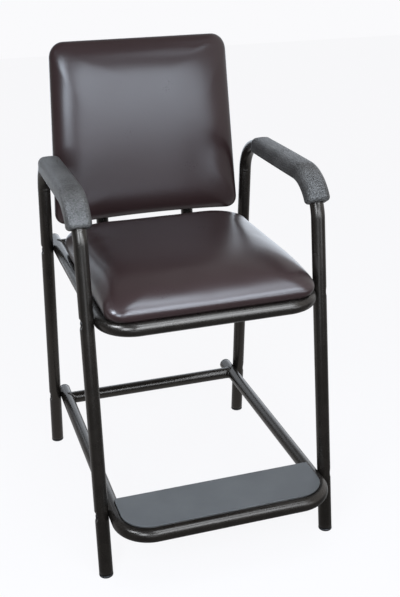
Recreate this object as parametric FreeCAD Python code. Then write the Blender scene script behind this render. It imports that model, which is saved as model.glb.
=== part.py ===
import FreeCAD, Part
import math
import os

# High hip chair of bent steel tube, in millimetres.
# X runs across the chair, -Y is the front, +Z is up.
# The origin is on the floor, in the middle of the chair's length and width.

V = FreeCAD.Vector

# tube stock, the same for every frame
TUBE_OD = 31.75
TUBE_WALL = 1.5

# side frames
ARM_BEND_R = 90.0  # centre line of the two bends in each side frame
LEG_SPACING = 542.0  # between the two leg planes
FOOT_SPREAD = 638.0  # front foot to rear foot, at the floor
LEG_LEAN = 6.0  # degrees from upright
ARM_Z = 844.0  # centre line of the arm rail
DENT = 1.5  # how deep a U frame beds into the leg
DIMPLE_D = 19.0  # pressed recess round a frame bolt's head
DIMPLE_DEPTH = 5.0

# glides in the leg ends
GLIDE_FLANGE = 5.0
GLIDE_PLUG = 24.0

# seat frame and footrest frame, each a U of tube
FRAME_BEND_R = 71.0  # centre line of the front corners
SEAT_RAIL_Z = 594.7
FOOT_RAIL_Z = 146.0
SEAT_REACH = 67.0  # front of the U ahead of the front leg, centre to centre
FOOT_REACH = 108.0
TAIL_Y = 330.0  # open ends of both U frames, behind the middle of the feet
CROSS_Y = 275.0  # cross rails, behind the middle of the feet
CAP_FLANGE = 3.0
CAP_ROUND = 2.0
CAP_PLUG = 14.0

# flat straps across the U frames
STRAP_WIDTH = 32.0
STRAP_THICK = 4.0
STRAP_LAP = 7.0  # end of a strap to the rail's centre line
FRONT_STRAP_Y = -190.0
REAR_STRAP_Y = 120.0
FOOT_STRAP_Y = -335.0

# frame bolts
BOLT_D = 8.0
BOLT_HEAD_D = 14.0
BOLT_HEAD_H = 3.0
BOLT_ROOM = 0.4  # added to the diameter of a clearance hole
NUT_D = 13.0
NUT_LENGTH = 9.0
NUT_ROOM = 0.7  # the front of the seat frame's bore already turns here

# seat
SEAT_SIDE_ROOM = 14.625  # leg to the cushion's side
SEAT_FRONT = -327.0
SEAT_BACK = 208.0
SEAT_FRONT_R = 36.0
SEAT_BACK_R = 52.0
SEAT_BOARD_THICK = 12.0
BOARD_INSET = 12.0  # cushion edge to board edge
# height above the board's underside, and how far in from the widest outline
SEAT_STACK = ((0.0, 9.0), (9.0, 2.5), (22.5, 0.0), (40.0, 3.2), (53.0, 10.6), (64.0, 22.4),
              (71.0, 38.0), (75.0, 75.0), (76.4, 140.0))

# back, measured along its own lean from the seat's cross rail
BACK_LEAN = 4.9  # degrees
UPRIGHT_SPACING = 234.0
UPRIGHT_TOP = 330.0
BACK_LOW = 61.0
BACK_ARCH = 7.0  # the middle of the back's lower edge above its corners
BACK_HIGH = 528.0
BACK_SIDE_ROOM = 5.125  # leg to the back's lower corner
BACK_TAPER = 19.0  # how much narrower each half is at the top
BACK_LOW_R = 28.0
BACK_HIGH_R = 38.0
BACK_COVER = 1.5
BACK_BOARD_THICK = 12.0
# distance in front of the board's rear face, and how far in from the widest outline
BACK_STACK = ((0.0, 7.0), (9.0, 1.5), (22.0, 0.0), (33.0, 3.5), (42.0, 12.0), (48.5, 30.0),
              (53.0, 65.0), (56.0, 110.0))
BACK_BOLT_D = 6.0
BACK_BOLT_HEAD_D = 12.0
BACK_BOLT_HEAD_H = 3.5
BACK_BOLT_LOW = 130.0
BACK_BOLT_HIGH = 290.0
TEE_FLANGE_D = 19.0
TEE_FLANGE = 1.5
TEE_BARREL_D = 8.5
TEE_BARREL = 8.0

# arm pads
PAD_WIDTH = 55.0
PAD_RISE = 31.0  # above the arm rail's centre line
PAD_DROP = 7.0  # below it
PAD_TOP_R = 16.0
PAD_LOW_R = 6.0
PAD_END_R = 5.0
PAD_REAR_Y = 125.0  # behind the middle of the feet
PAD_WRAP = 62.0  # degrees round the front bend
PAD_FIT = 0.3
PAD_SCREW_Y = 85.0  # ahead of and behind the middle of the feet

# footrest plate
PLATE_THICK = 4.0
PLATE_INSET = 4.0  # inside the tube's centre line
PLATE_REAR_Y = -277.0  # ahead of the middle of the feet
PLATE_REAR_R = 4.0

# small screws for the seat board, the plate and the pads
SCREW_D = 5.0
SCREW_HEAD_D = 10.0
SCREW_HEAD_H = 2.5
SEAT_SCREW_X = 150.0
FOOT_SCREW_X = 130.0
SEAT_SCREW_BITE = 9.0
FOOT_SCREW_BITE = 2.5
PAD_SCREW_BITE = 9.0

# sizes that follow from the ones above
TUBE_R = TUBE_OD / 2
BORE_R = TUBE_R - TUBE_WALL
LEG_X = LEG_SPACING / 2
RAIL_X = LEG_X - TUBE_OD + DENT
SEAT_HALF = LEG_X - TUBE_R - SEAT_SIDE_ROOM
BACK_HALF = LEG_X - TUBE_R - BACK_SIDE_ROOM
SLOPE = math.tan(math.radians(LEG_LEAN))
FOOT_FRONT = FOOT_SPREAD / 2 - FOOT_RAIL_Z * SLOPE + FOOT_REACH
SEAT_TUBE_FRONT = FOOT_SPREAD / 2 - SEAT_RAIL_Z * SLOPE + SEAT_REACH
FRONT_END = FOOT_FRONT + TUBE_R
REAR_END = FOOT_SPREAD / 2 + TUBE_R / math.cos(math.radians(LEG_LEAN))
MID_Y = (FRONT_END - REAR_END) / 2  # middle of the feet, from the origin
SEAT_TOP_OF_RAIL = SEAT_RAIL_Z + TUBE_R
FOOT_TOP_OF_RAIL = FOOT_RAIL_Z + TUBE_R
LOFT_DEGREE = 2
SEAM_TURN = 120  # degrees round a bent tube
RAILS = (SEAT_RAIL_Z, FOOT_RAIL_Z)
ENDS = (-1, 1)
SIDES = (-1, 1)


def save(name, shape):
    """Write one node, after checking that it is sound."""
    if not shape.isValid():
        raise ValueError(name + " is not a sound solid")
    shape.exportStep("parts/" + name + ".step")


def group(shapes):
    return Part.makeCompound(shapes)


def joined(first, others):
    """Several touching shapes made into one solid."""
    return first.fuse(others).removeSplitter().Solids[0]


def bar(start, end, radius):
    """A straight round bar from one point to another."""
    return Part.makeCylinder(radius, (end - start).Length, start, end - start)


def ring(centre, way, radius, bore):
    """Flat section of a rod, or of a tube where it has a bore, its seam clear of the bolt holes."""
    section = Part.Face(Part.Wire(Part.makeCircle(radius, centre, way)))
    if bore > 0:
        section = section.cut(Part.Face(Part.Wire(Part.makeCircle(bore, centre, way)))).Faces[0]
    section.rotate(centre, way, SEAM_TURN)
    return section


def bent_rod(points, bend, radius, bore=0):
    """A round rod or tube along a line of points, bent at each inner point."""
    pieces = []
    start = points[0]
    for before, corner, after in zip(points, points[1:], points[2:]):
        way_in = (corner - before).normalize()
        way_out = (after - corner).normalize()
        turn = way_in.getAngle(way_out)
        reach = bend * math.tan(turn / 2)
        enter = corner - way_in * reach
        axis = way_in.cross(way_out)
        centre = enter + axis.cross(way_in).normalize() * bend
        pieces.append(ring(start, way_in, radius, bore).extrude(enter - start))
        pieces.append(ring(enter, way_in, radius, bore).revolve(centre, axis, math.degrees(turn)))
        start = corner + way_out * reach
    pieces.append(ring(start, way_out, radius, bore).extrude(points[-1] - start))
    return joined(pieces[0], pieces[1:])


def outline(corners, radii, rise=V()):
    """A closed wire with an arc at each corner; the middle of its first side is moved by the rise."""
    edges = []
    count = len(corners)
    starts = []
    for i in range(count):
        corner = corners[i]
        to_last = (corners[i - 1] - corner).normalize()
        to_next = (corners[(i + 1) % count] - corner).normalize()
        half = to_last.getAngle(to_next) / 2
        reach = radii[i] / math.tan(half)
        middle = (to_last + to_next).normalize() * (radii[i] / math.sin(half) - radii[i])
        first = corner + to_last * reach
        last = corner + to_next * reach
        starts.append((first, last, Part.Arc(first, corner + middle, last).toShape()))
    for i in range(count):
        edges.append(starts[i][2])
        start = starts[i][1]
        end = starts[(i + 1) % count][0]
        if i == 0 and rise.Length > 0:
            edges.append(Part.Arc(start, (start + end) / 2 + rise, end).toShape())
        else:
            edges.append(Part.makeLine(start, end))
    return Part.Wire(edges)


def pillow(rings):
    """A soft solid through a stack of outlines."""
    return Part.makeLoft(rings, True, False, False, LOFT_DEGREE)


def slab(wire, thick):
    """A flat sheet of even thickness, upward from its outline."""
    return Part.Face(wire).extrude(V(0, 0, thick))


def leg_y(end, height):
    """Leg centre line at a height: end -1 is the front leg, 1 the rear."""
    return MID_Y + end * (FOOT_SPREAD / 2 - height * SLOPE)


def frame_path(side):
    """Centre line of a side frame, from the front foot over the arm to the rear foot."""
    x = side * LEG_X
    return [
        V(x, leg_y(-1, 0), 0),
        V(x, leg_y(-1, ARM_Z), ARM_Z),
        V(x, leg_y(1, ARM_Z), ARM_Z),
        V(x, leg_y(1, 0), 0),
    ]


def junctions(side, heights):
    """Where a side frame meets the U frames, on the outermost line of the leg."""
    return [V(side * (LEG_X + TUBE_R), leg_y(end, z), z) for z in heights for end in ENDS]


def inward(point, start, end, radius):
    """A round bar from the outside of a leg inward, by depths below its outermost line."""
    way = V(-1 if point.x > 0 else 1, 0, 0)
    return bar(point + way * start, point + way * end, radius)


def rail_bed(point, radius):
    """The part of a U frame's rail that beds into the leg."""
    x = RAIL_X if point.x > 0 else -RAIL_X
    return bar(V(x, point.y - TUBE_OD, point.z), V(x, point.y + TUBE_OD, point.z), radius)


def pad_feet(side):
    """Where the pad screws start, on the underside of the arm rail."""
    return [V(side * LEG_X, MID_Y + end * PAD_SCREW_Y, ARM_Z - TUBE_R) for end in ENDS]


def screw(foot, length):
    """A pan-head screw pointing up, its head below the given point."""
    shank = bar(foot, foot + V(0, 0, length), SCREW_D / 2)
    head = bar(foot - V(0, 0, SCREW_HEAD_H), foot, SCREW_HEAD_D / 2)
    return joined(shank, [head])


def pad_screws(side):
    """Two screws up through the arm rail into its pad."""
    return [screw(foot, TUBE_OD + PAD_SCREW_BITE) for foot in pad_feet(side)]


def side_frame(side):
    """One bent tube with a bed for each rail, a dimple for each bolt and its holes."""
    path = frame_path(side)
    outer = bent_rod(path, ARM_BEND_R, TUBE_R)
    inner = bent_rod(path, ARM_BEND_R, BORE_R)
    holes = []
    for point in junctions(side, RAILS):
        dimple = inward(point, -TUBE_WALL, DIMPLE_DEPTH, DIMPLE_D / 2)
        cup = inward(point, -TUBE_WALL, DIMPLE_DEPTH + TUBE_WALL, DIMPLE_D / 2 + TUBE_WALL)
        outer = outer.cut([rail_bed(point, TUBE_R), dimple])
        inner = inner.cut([rail_bed(point, TUBE_R + TUBE_WALL), cup])
        holes.append(inward(point, 0, TUBE_OD, (BOLT_D + BOLT_ROOM) / 2))
    for foot in pad_feet(side):
        holes.append(bar(foot, foot + V(0, 0, TUBE_OD), (SCREW_D + BOLT_ROOM) / 2))
    floor = Part.makeBox(LEG_SPACING, 2 * FOOT_SPREAD, GLIDE_FLANGE + TUBE_OD,
                         V(side * LEG_X - LEG_X, MID_Y - FOOT_SPREAD, -TUBE_OD))
    return outer.cut(inner).cut(holes + [floor])


def glide(side, end):
    """A plug with a flange, on the slant of its leg and flat on the floor."""
    foot = V(side * LEG_X, leg_y(end, -TUBE_OD), -TUBE_OD)
    top = GLIDE_FLANGE + GLIDE_PLUG
    up = V(side * LEG_X, leg_y(end, 2 * top), 2 * top)
    corner = V(foot.x - TUBE_OD, foot.y - 2 * TUBE_OD, 0)
    flange = Part.makeBox(2 * TUBE_OD, 4 * TUBE_OD, GLIDE_FLANGE, corner)
    plug = Part.makeBox(2 * TUBE_OD, 4 * TUBE_OD, GLIDE_PLUG, corner + V(0, 0, GLIDE_FLANGE))
    return joined(bar(foot, up, TUBE_R).common(flange), [bar(foot, up, BORE_R).common(plug)])


def u_path(front, height):
    """Centre line of a U frame, from one open end round the front to the other."""
    tail = MID_Y + TAIL_Y
    nose = MID_Y - front
    return [V(-RAIL_X, tail, height), V(-RAIL_X, nose, height),
            V(RAIL_X, nose, height), V(RAIL_X, tail, height)]


def u_frame(front, height):
    """A U of tube with a bolt hole in its outer wall at each leg."""
    tube = bent_rod(u_path(front, height), FRAME_BEND_R, TUBE_R, BORE_R)
    holes = []
    for side in SIDES:
        for point in junctions(side, (height,)):
            holes.append(inward(point, TUBE_R, TUBE_OD + TUBE_R / 2, (BOLT_D + BOLT_ROOM) / 2))
    return tube.cut(holes)


def nut_face():
    """Depth of a frame nut's flat face, where its rim meets the bore of the rail."""
    hollow = BORE_R - math.sqrt(BORE_R ** 2 - (NUT_D / 2) ** 2)
    return TUBE_OD - DENT + TUBE_WALL + hollow + NUT_ROOM


def frame_bolts(height):
    """Four bolts from the dimples through the legs into the nuts."""
    bolts = []
    for side in SIDES:
        for point in junctions(side, (height,)):
            head = inward(point, DIMPLE_DEPTH - BOLT_HEAD_H, DIMPLE_DEPTH, BOLT_HEAD_D / 2)
            shank = inward(point, DIMPLE_DEPTH, nut_face() + NUT_LENGTH, BOLT_D / 2)
            bolts.append(joined(head, [shank]))
    return group(bolts)


def frame_nuts(height):
    """Four nuts inside the U frame's outer wall."""
    nuts = []
    for side in SIDES:
        for point in junctions(side, (height,)):
            body = inward(point, nut_face(), nut_face() + NUT_LENGTH, NUT_D / 2)
            nuts.append(body.cut(inward(point, 0, 2 * TUBE_OD, BOLT_D / 2)))
    return group(nuts)


def tube_cap(mouth, way):
    """A plug with a rounded flange for an open tube end."""
    flange = bar(mouth, mouth + way * CAP_FLANGE, TUBE_R)
    rim = max(flange.Edges, key=lambda edge: edge.CenterOfMass.dot(way))
    flange = flange.makeFillet(CAP_ROUND, [rim])
    return joined(flange, [bar(mouth - way * CAP_PLUG, mouth, BORE_R)])


def u_caps(height):
    tail = MID_Y + TAIL_Y
    return group([tube_cap(V(side * RAIL_X, tail, height), V(0, 1, 0)) for side in SIDES])


def cross_rail(height):
    """A tube between the two rails of a U frame, its ends shaped to them."""
    y = MID_Y + CROSS_Y
    ends = (V(-RAIL_X, y, height), V(RAIL_X, y, height))
    rails = [bar(end - V(0, TUBE_OD, 0), end + V(0, TUBE_OD, 0), TUBE_R) for end in ends]
    return bar(ends[0], ends[1], TUBE_R).cut(bar(ends[0], ends[1], BORE_R)).cut(rails)


def strap(middle_y, rail_z, screw_x):
    """A flat bar across a U frame, level with the top of its rails."""
    half = RAIL_X - STRAP_LAP
    y = MID_Y + middle_y
    top = rail_z + TUBE_R
    flat = Part.makeBox(2 * half, STRAP_WIDTH, STRAP_THICK,
                        V(-half, y - STRAP_WIDTH / 2, top - STRAP_THICK))
    rails = [bar(V(side * RAIL_X, y - TUBE_OD, rail_z), V(side * RAIL_X, y + TUBE_OD, rail_z), TUBE_R)
             for side in SIDES]
    holes = [bar(V(side * screw_x, y, rail_z), V(side * screw_x, y, rail_z + TUBE_OD),
                 (SCREW_D + BOLT_ROOM) / 2) for side in SIDES]
    return flat.cut(rails + holes)


def strap_screws(middle_y, rail_z, screw_x, bite):
    """Two screws up through a strap."""
    under = rail_z + TUBE_R - STRAP_THICK
    return [screw(V(side * screw_x, MID_Y + middle_y, under), STRAP_THICK + bite) for side in SIDES]


def seat_outline(inset, level):
    """Plan of the seat, drawn in from its widest outline."""
    half = SEAT_HALF - inset
    front = MID_Y + SEAT_FRONT + inset
    rear = MID_Y + SEAT_BACK - inset
    z = SEAT_TOP_OF_RAIL + level
    corners = [V(-half, front, z), V(half, front, z), V(half, rear, z), V(-half, rear, z)]
    return outline(corners, [SEAT_FRONT_R, SEAT_FRONT_R, SEAT_BACK_R, SEAT_BACK_R])


def seat_board():
    return slab(seat_outline(BOARD_INSET, 0), SEAT_BOARD_THICK)


def seat_cushion():
    """Crowned cushion with drawn-in lower edge, wrapped over the edge of its board."""
    rings = [seat_outline(inset, level) for level, inset in SEAT_STACK]
    return pillow(rings).cut(seat_board())


def on_back(shape):
    """Stand a shape drawn along the back's own lean on the seat's cross rail."""
    placed = shape.copy()
    placed.rotate(V(0, 0, 0), V(1, 0, 0), -BACK_LEAN)
    placed.translate(V(0, MID_Y + CROSS_Y, SEAT_RAIL_Z))
    return placed


def back_outline(inset, forward):
    """Outline of the back, drawn in from its widest; forward is the distance before the uprights."""
    slant = BACK_TAPER / (BACK_HIGH - BACK_LOW)
    low = BACK_LOW + inset
    high = BACK_HIGH - inset
    half_low = BACK_HALF - inset - slant * inset
    half_high = BACK_HALF - BACK_TAPER - inset + slant * inset
    y = -forward
    corners = [V(-half_low, y, low), V(half_low, y, low), V(half_high, y, high), V(-half_high, y, high)]
    return outline(corners, [BACK_LOW_R, BACK_LOW_R, BACK_HIGH_R, BACK_HIGH_R], V(0, 0, BACK_ARCH))


def back_sheet(forward, thick):
    """A flat sheet with the board's outline, forward from a distance before the uprights."""
    return Part.Face(back_outline(BOARD_INSET, forward)).extrude(V(0, -thick, 0))


def back_points():
    """Centres of the back bolts, on the uprights' centre lines."""
    x = UPRIGHT_SPACING / 2
    return [V(side * x, 0, up) for side in SIDES for up in (BACK_BOLT_LOW, BACK_BOLT_HIGH)]


def forward_bar(point, start, end, radius):
    """A round bar through the back, between two distances before the uprights' centre line."""
    return bar(point + V(0, -start, 0), point + V(0, -end, 0), radius)


def upright(side):
    """A tube from the seat's cross rail up behind the back."""
    x = side * UPRIGHT_SPACING / 2
    foot = V(x, 0, 0)
    top = V(x, 0, UPRIGHT_TOP)
    rail = bar(V(x - TUBE_OD, 0, 0), V(x + TUBE_OD, 0, 0), TUBE_R)
    holes = [forward_bar(point, -TUBE_OD, TUBE_OD, (BACK_BOLT_D + BOLT_ROOM) / 2)
             for point in back_points()]
    return bar(foot, top, TUBE_R).cut(bar(foot, top, BORE_R)).cut([rail] + holes)


def upright_caps():
    return [tube_cap(V(side * UPRIGHT_SPACING / 2, 0, UPRIGHT_TOP), V(0, 0, 1)) for side in SIDES]


def back_bolts():
    """Bolts from behind the uprights into the tee nuts."""
    tip = TUBE_R + BACK_COVER + BACK_BOARD_THICK
    bolts = []
    for point in back_points():
        shank = forward_bar(point, -TUBE_R, tip, BACK_BOLT_D / 2)
        head = forward_bar(point, -TUBE_R - BACK_BOLT_HEAD_H, -TUBE_R, BACK_BOLT_HEAD_D / 2)
        bolts.append(joined(shank, [head]))
    return bolts


def tee_nuts():
    """Flanged nuts let into the front of the back board."""
    front = TUBE_R + BACK_COVER + BACK_BOARD_THICK
    nuts = []
    for point in back_points():
        flange = forward_bar(point, front - TEE_FLANGE, front, TEE_FLANGE_D / 2)
        barrel = forward_bar(point, front - TEE_BARREL, front, TEE_BARREL_D / 2)
        bore = forward_bar(point, 0, 2 * front, BACK_BOLT_D / 2)
        nuts.append(joined(flange, [barrel]).cut(bore))
    return nuts


def back_board():
    """The back's board, with room for the bolts and tee nuts."""
    front = TUBE_R + BACK_COVER + BACK_BOARD_THICK
    board = back_sheet(TUBE_R + BACK_COVER, BACK_BOARD_THICK)
    rooms = []
    for point in back_points():
        rooms.append(forward_bar(point, 0, front, (BACK_BOLT_D + BOLT_ROOM) / 2))
        rooms.append(forward_bar(point, front - TEE_BARREL, front, TEE_BARREL_D / 2))
        rooms.append(forward_bar(point, front - TEE_FLANGE, front, TEE_FLANGE_D / 2))
    return board.cut(rooms)


def back_cover():
    """A thin sheet over the rear of the back board."""
    holes = [forward_bar(point, 0, TUBE_OD, (BACK_BOLT_D + BOLT_ROOM) / 2) for point in back_points()]
    return back_sheet(TUBE_R, BACK_COVER).cut(holes)


def back_cushion():
    """Crowned cushion over the front and the edges of the back board."""
    rear = TUBE_R + BACK_COVER
    rings = [back_outline(inset, rear + forward) for forward, inset in BACK_STACK]
    return pillow(rings).cut(back_sheet(rear, BACK_BOARD_THICK))


def pad_section(side):
    """Rounded section of an arm pad, across the arm rail at its rear end."""
    x = side * LEG_X
    half = PAD_WIDTH / 2
    y = MID_Y + PAD_REAR_Y
    corners = [V(x - half, y, ARM_Z - PAD_DROP), V(x + half, y, ARM_Z - PAD_DROP),
               V(x + half, y, ARM_Z + PAD_RISE), V(x - half, y, ARM_Z + PAD_RISE)]
    return Part.Face(outline(corners, [PAD_LOW_R, PAD_LOW_R, PAD_TOP_R, PAD_TOP_R]))


def rear_rim(body):
    """Edges round the rear end of an arm pad."""
    return [edge for edge in body.Edges if edge.BoundBox.YMin > MID_Y + PAD_REAR_Y - PAD_FIT]


def front_rim(body, hinge):
    """Edges round the front end of an arm pad, where its wrap round the bend stops."""
    turn = math.radians(PAD_WRAP)
    ahead = V(0, -math.cos(turn), -math.sin(turn))
    return [edge for edge in body.Edges
            if all(abs((vertex.Point - hinge).dot(ahead)) < PAD_FIT for vertex in edge.Vertexes)]


def arm_pad(side):
    """A moulded pad along the arm rail and part of the way down the front bend."""
    turn = math.radians(90.0 - LEG_LEAN)
    bend_y = leg_y(-1, ARM_Z) + ARM_BEND_R * math.tan(turn / 2)
    rear = pad_section(side)
    run = V(0, bend_y - MID_Y - PAD_REAR_Y, 0)
    front = rear.copy()
    front.translate(run)
    hinge = V(0, bend_y, ARM_Z - ARM_BEND_R)
    wrap = front.revolve(hinge, V(1, 0, 0), PAD_WRAP)
    body = joined(rear.extrude(run), [wrap])
    body = body.makeFillet(PAD_END_R, rear_rim(body) + front_rim(body, hinge))
    body = body.cut(bent_rod(frame_path(side), ARM_BEND_R, TUBE_R + PAD_FIT))
    return body.cut(pad_screws(side))


def footrest_plate():
    """A flat plate on the front of the footrest frame, its front corners round like the tube's."""
    half = RAIL_X - PLATE_INSET
    front = MID_Y - FOOT_FRONT + PLATE_INSET
    rear = MID_Y + PLATE_REAR_Y
    z = FOOT_TOP_OF_RAIL
    corners = [V(-half, front, z), V(half, front, z), V(half, rear, z), V(-half, rear, z)]
    nose = FRAME_BEND_R - PLATE_INSET
    return slab(outline(corners, [nose, nose, PLATE_REAR_R, PLATE_REAR_R]), PLATE_THICK)


os.makedirs("parts", exist_ok=True)

for side, hand in ((-1, "left"), (1, "right")):
    save(hand + "_side_frame", side_frame(side))
    save(hand + "_arm_pad", arm_pad(side))
    save(hand + "_back_upright", on_back(upright(side)))
    save("front_" + hand + "_glide", glide(side, -1))
    save("rear_" + hand + "_glide", glide(side, 1))
save("arm_pad_screws", group(pad_screws(-1) + pad_screws(1)))

for kind, front, height in (("seat", SEAT_TUBE_FRONT, SEAT_RAIL_Z), ("footrest", FOOT_FRONT, FOOT_RAIL_Z)):
    save(kind + "_frame_tube", u_frame(front, height))
    save(kind + "_tube_plugs", u_caps(height))
    save(kind + "_cross_rail", cross_rail(height))
    save(kind + "_frame_bolts", frame_bolts(height))
    save(kind + "_frame_nuts", frame_nuts(height))

seat_screws = []
for name, y in (("front", FRONT_STRAP_Y), ("rear", REAR_STRAP_Y)):
    save(name + "_seat_strap", strap(y, SEAT_RAIL_Z, SEAT_SCREW_X))
    seat_screws += strap_screws(y, SEAT_RAIL_Z, SEAT_SCREW_X, SEAT_SCREW_BITE)
save("seat_board_screws", group(seat_screws))
save("seat_board", seat_board().cut(seat_screws))
save("seat_cushion", seat_cushion())

save("upright_plugs", on_back(group(upright_caps())))
save("back_bolts", on_back(group(back_bolts())))
save("back_tee_nuts", on_back(group(tee_nuts())))
save("back_board", on_back(back_board()))
save("back_rear_cover", on_back(back_cover()))
save("back_cushion", on_back(back_cushion()))

plate_screws = strap_screws(FOOT_STRAP_Y, FOOT_RAIL_Z, FOOT_SCREW_X, FOOT_SCREW_BITE)
save("footrest_strap", strap(FOOT_STRAP_Y, FOOT_RAIL_Z, FOOT_SCREW_X))
save("footrest_plate_screws", group(plate_screws))
save("footrest_plate", footrest_plate().cut(plate_screws))
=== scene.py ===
import math

import bpy
import numpy as np
from mathutils import Matrix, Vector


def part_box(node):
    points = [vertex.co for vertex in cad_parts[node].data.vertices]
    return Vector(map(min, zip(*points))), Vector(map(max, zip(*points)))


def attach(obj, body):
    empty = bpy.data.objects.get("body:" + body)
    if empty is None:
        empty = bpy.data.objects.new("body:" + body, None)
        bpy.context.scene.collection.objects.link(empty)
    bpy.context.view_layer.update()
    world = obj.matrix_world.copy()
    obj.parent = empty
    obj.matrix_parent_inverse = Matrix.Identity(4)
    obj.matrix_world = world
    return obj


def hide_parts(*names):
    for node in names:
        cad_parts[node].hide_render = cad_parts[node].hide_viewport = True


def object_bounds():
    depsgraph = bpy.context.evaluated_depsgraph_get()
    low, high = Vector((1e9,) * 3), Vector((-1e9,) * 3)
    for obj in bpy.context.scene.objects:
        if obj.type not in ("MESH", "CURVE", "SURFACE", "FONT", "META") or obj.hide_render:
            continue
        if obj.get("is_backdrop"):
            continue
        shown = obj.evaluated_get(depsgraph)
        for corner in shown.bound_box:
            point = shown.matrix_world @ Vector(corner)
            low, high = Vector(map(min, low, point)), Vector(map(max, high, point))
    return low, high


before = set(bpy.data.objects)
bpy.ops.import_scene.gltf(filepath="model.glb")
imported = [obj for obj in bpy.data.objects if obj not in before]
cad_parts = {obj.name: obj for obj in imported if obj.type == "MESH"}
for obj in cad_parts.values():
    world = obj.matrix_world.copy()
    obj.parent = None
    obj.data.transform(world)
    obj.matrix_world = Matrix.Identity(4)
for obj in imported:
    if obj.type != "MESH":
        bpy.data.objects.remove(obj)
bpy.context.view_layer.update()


# Side frames. Each is one length of round steel tube bent twice into a front leg, an arm rail and a
# rear leg, powder coated dark bronze. Where a U frame is bolted on, the leg is pressed in: a shallow
# bed for the rail on its inner side and a flat dimple for the bolt head on its outer side.
rail_low, rail_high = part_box("seat_cross_rail")
foot_rail_low, foot_rail_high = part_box("footrest_cross_rail")
tube_r = (rail_high.z - rail_low.z) / 2
seat_rail_z = (rail_low.z + rail_high.z) / 2
foot_rail_z = (foot_rail_low.z + foot_rail_high.z) / 2
rail_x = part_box("seat_frame_tube")[1].x - tube_r
leg_lean = math.radians(6.0)
arm_bend = 0.090
dimple_depth = 0.005
dimple_flat = 0.0078
dimple_edge = 0.0055
bed_play = 0.0001
bed_round = 0.0007
crease_rise, crease_width = 0.00045, 0.0016
dip_depth, dip_place, dip_width = 0.00030, 0.0045, 0.0020
leg_sides = 72
rightward = np.array([1.0, 0.0, 0.0])


class Wire:
    """One output in a material's nodes. Sums and products with numbers or other wires add Math nodes."""

    def __init__(self, tree, socket):
        self.tree = tree
        self.socket = socket

    def join(self, value, target):
        """Sets a socket to a value, or links it to a wire."""
        if isinstance(value, Wire):
            self.tree.links.new(value.socket, target)
        else:
            target.default_value = value

    def make(self, kind, settings, sockets, out=0):
        """Any node: its type, then its settings, then the values or wires of its sockets."""
        node = self.tree.nodes.new(kind)
        for name, value in settings.items():
            setattr(node, name, value)
        for name, value in sockets.items():
            self.join(value, node.inputs[name])
        return Wire(self.tree, node.outputs[out])

    def math(self, operation, first, second):
        return self.make("ShaderNodeMath", {"operation": operation}, {0: first, 1: second})

    def __add__(self, other):
        return self.math("ADD", self, other)

    def __sub__(self, other):
        return self.math("SUBTRACT", self, other)

    def __rsub__(self, other):
        return self.math("SUBTRACT", other, self)

    def __mul__(self, other):
        return self.math("MULTIPLY", self, other)

    __radd__ = __add__
    __rmul__ = __mul__

    def noise(self, scale, detail=2.0):
        """Cloudy noise over the surface; the scale is in cells a metre."""
        return self.make("ShaderNodeTexNoise", {}, {"Vector": self, "Scale": scale, "Detail": detail}, "Fac")

    def cells(self, scale):
        """Rounded cells over the surface, as the distance from the middle of each."""
        return self.make("ShaderNodeTexVoronoi", {"feature": "SMOOTH_F1"},
                         {"Vector": self, "Scale": scale}, "Distance")

    def ramp(self, low, high):
        """0 below the low value, 1 above the high one, smooth between."""
        return self.make("ShaderNodeMapRange", {"interpolation_type": "SMOOTHSTEP"},
                         {"Value": self, "From Min": low, "From Max": high}, "Result")

    def mix(self, first, second):
        """A colour that goes from the first to the second as this wire goes from 0 to 1."""
        return self.make("ShaderNodeMix", {"data_type": "RGBA"}, {0: self, 6: first, 7: second}, 2)


def new_finish(name, fixed):
    """A material with the constant sockets of its shader set, and a wire of object coordinates."""
    material = bpy.data.materials.new(name)
    material.use_nodes = True
    tree = material.node_tree
    shader = tree.nodes["Principled BSDF"]
    for socket, value in fixed.items():
        shader.inputs[socket].default_value = value
    place = Wire(tree, tree.nodes.new("ShaderNodeTexCoord").outputs["Object"])
    return material, shader.inputs, place


def bump_of(height, strength, distance):
    """Small relief in metres from a height wire, for a shader's Normal."""
    return height.make("ShaderNodeBump", {},
                       {"Height": height, "Strength": strength, "Distance": distance}, "Normal")


def unit(vectors):
    """One vector or many, each made one long."""
    return vectors / np.linalg.norm(vectors, axis=-1, keepdims=True)


def turns(count):
    """Even angles once round."""
    return np.linspace(0, 2 * np.pi, count, endpoint=False)


def bent_line(corners, bend):
    """Centre line of a bent tube as close points, their directions and their lengths from the start:
    a straight run to each corner, then an arc of the bend radius that touches both runs."""
    step = 0.0005
    points, ways = [], []
    start = corners[0]
    for corner, after in zip(corners[1:-1], corners[2:]):
        way = unit(corner - start)
        next_way = unit(after - corner)
        turn = math.acos(way @ next_way)
        inward = unit(next_way - way * (way @ next_way))
        enter = corner - way * bend * math.tan(turn / 2)
        run = np.arange(0, np.linalg.norm(enter - start), step)[:, None]
        angle = np.arange(0, turn, step / bend)[:, None]
        arc = np.sin(angle) * way + (1 - np.cos(angle)) * inward
        points += [start + way * run, enter + bend * arc]
        ways += [way + 0 * run, np.cos(angle) * way + np.sin(angle) * inward]
        start = enter + bend * (math.sin(turn) * way + (1 - math.cos(turn)) * inward)
    way = unit(corners[-1] - start)
    run = np.linspace(0, np.linalg.norm(corners[-1] - start), 200)[:, None]
    points = np.concatenate(points + [start + way * run])
    ways = np.concatenate(ways + [way + 0 * run])
    steps = np.linalg.norm(np.diff(points, axis=0), axis=1)
    return points, ways, np.concatenate([[0], np.cumsum(steps)])


def along(line, stops):
    """Points and directions of a centre line at the given lengths from its start."""
    points, ways, lengths = line
    centre = np.stack([np.interp(stops, lengths, column) for column in points.T], 1)
    way = np.stack([np.interp(stops, lengths, column) for column in ways.T], 1)
    return centre, unit(way)


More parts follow.
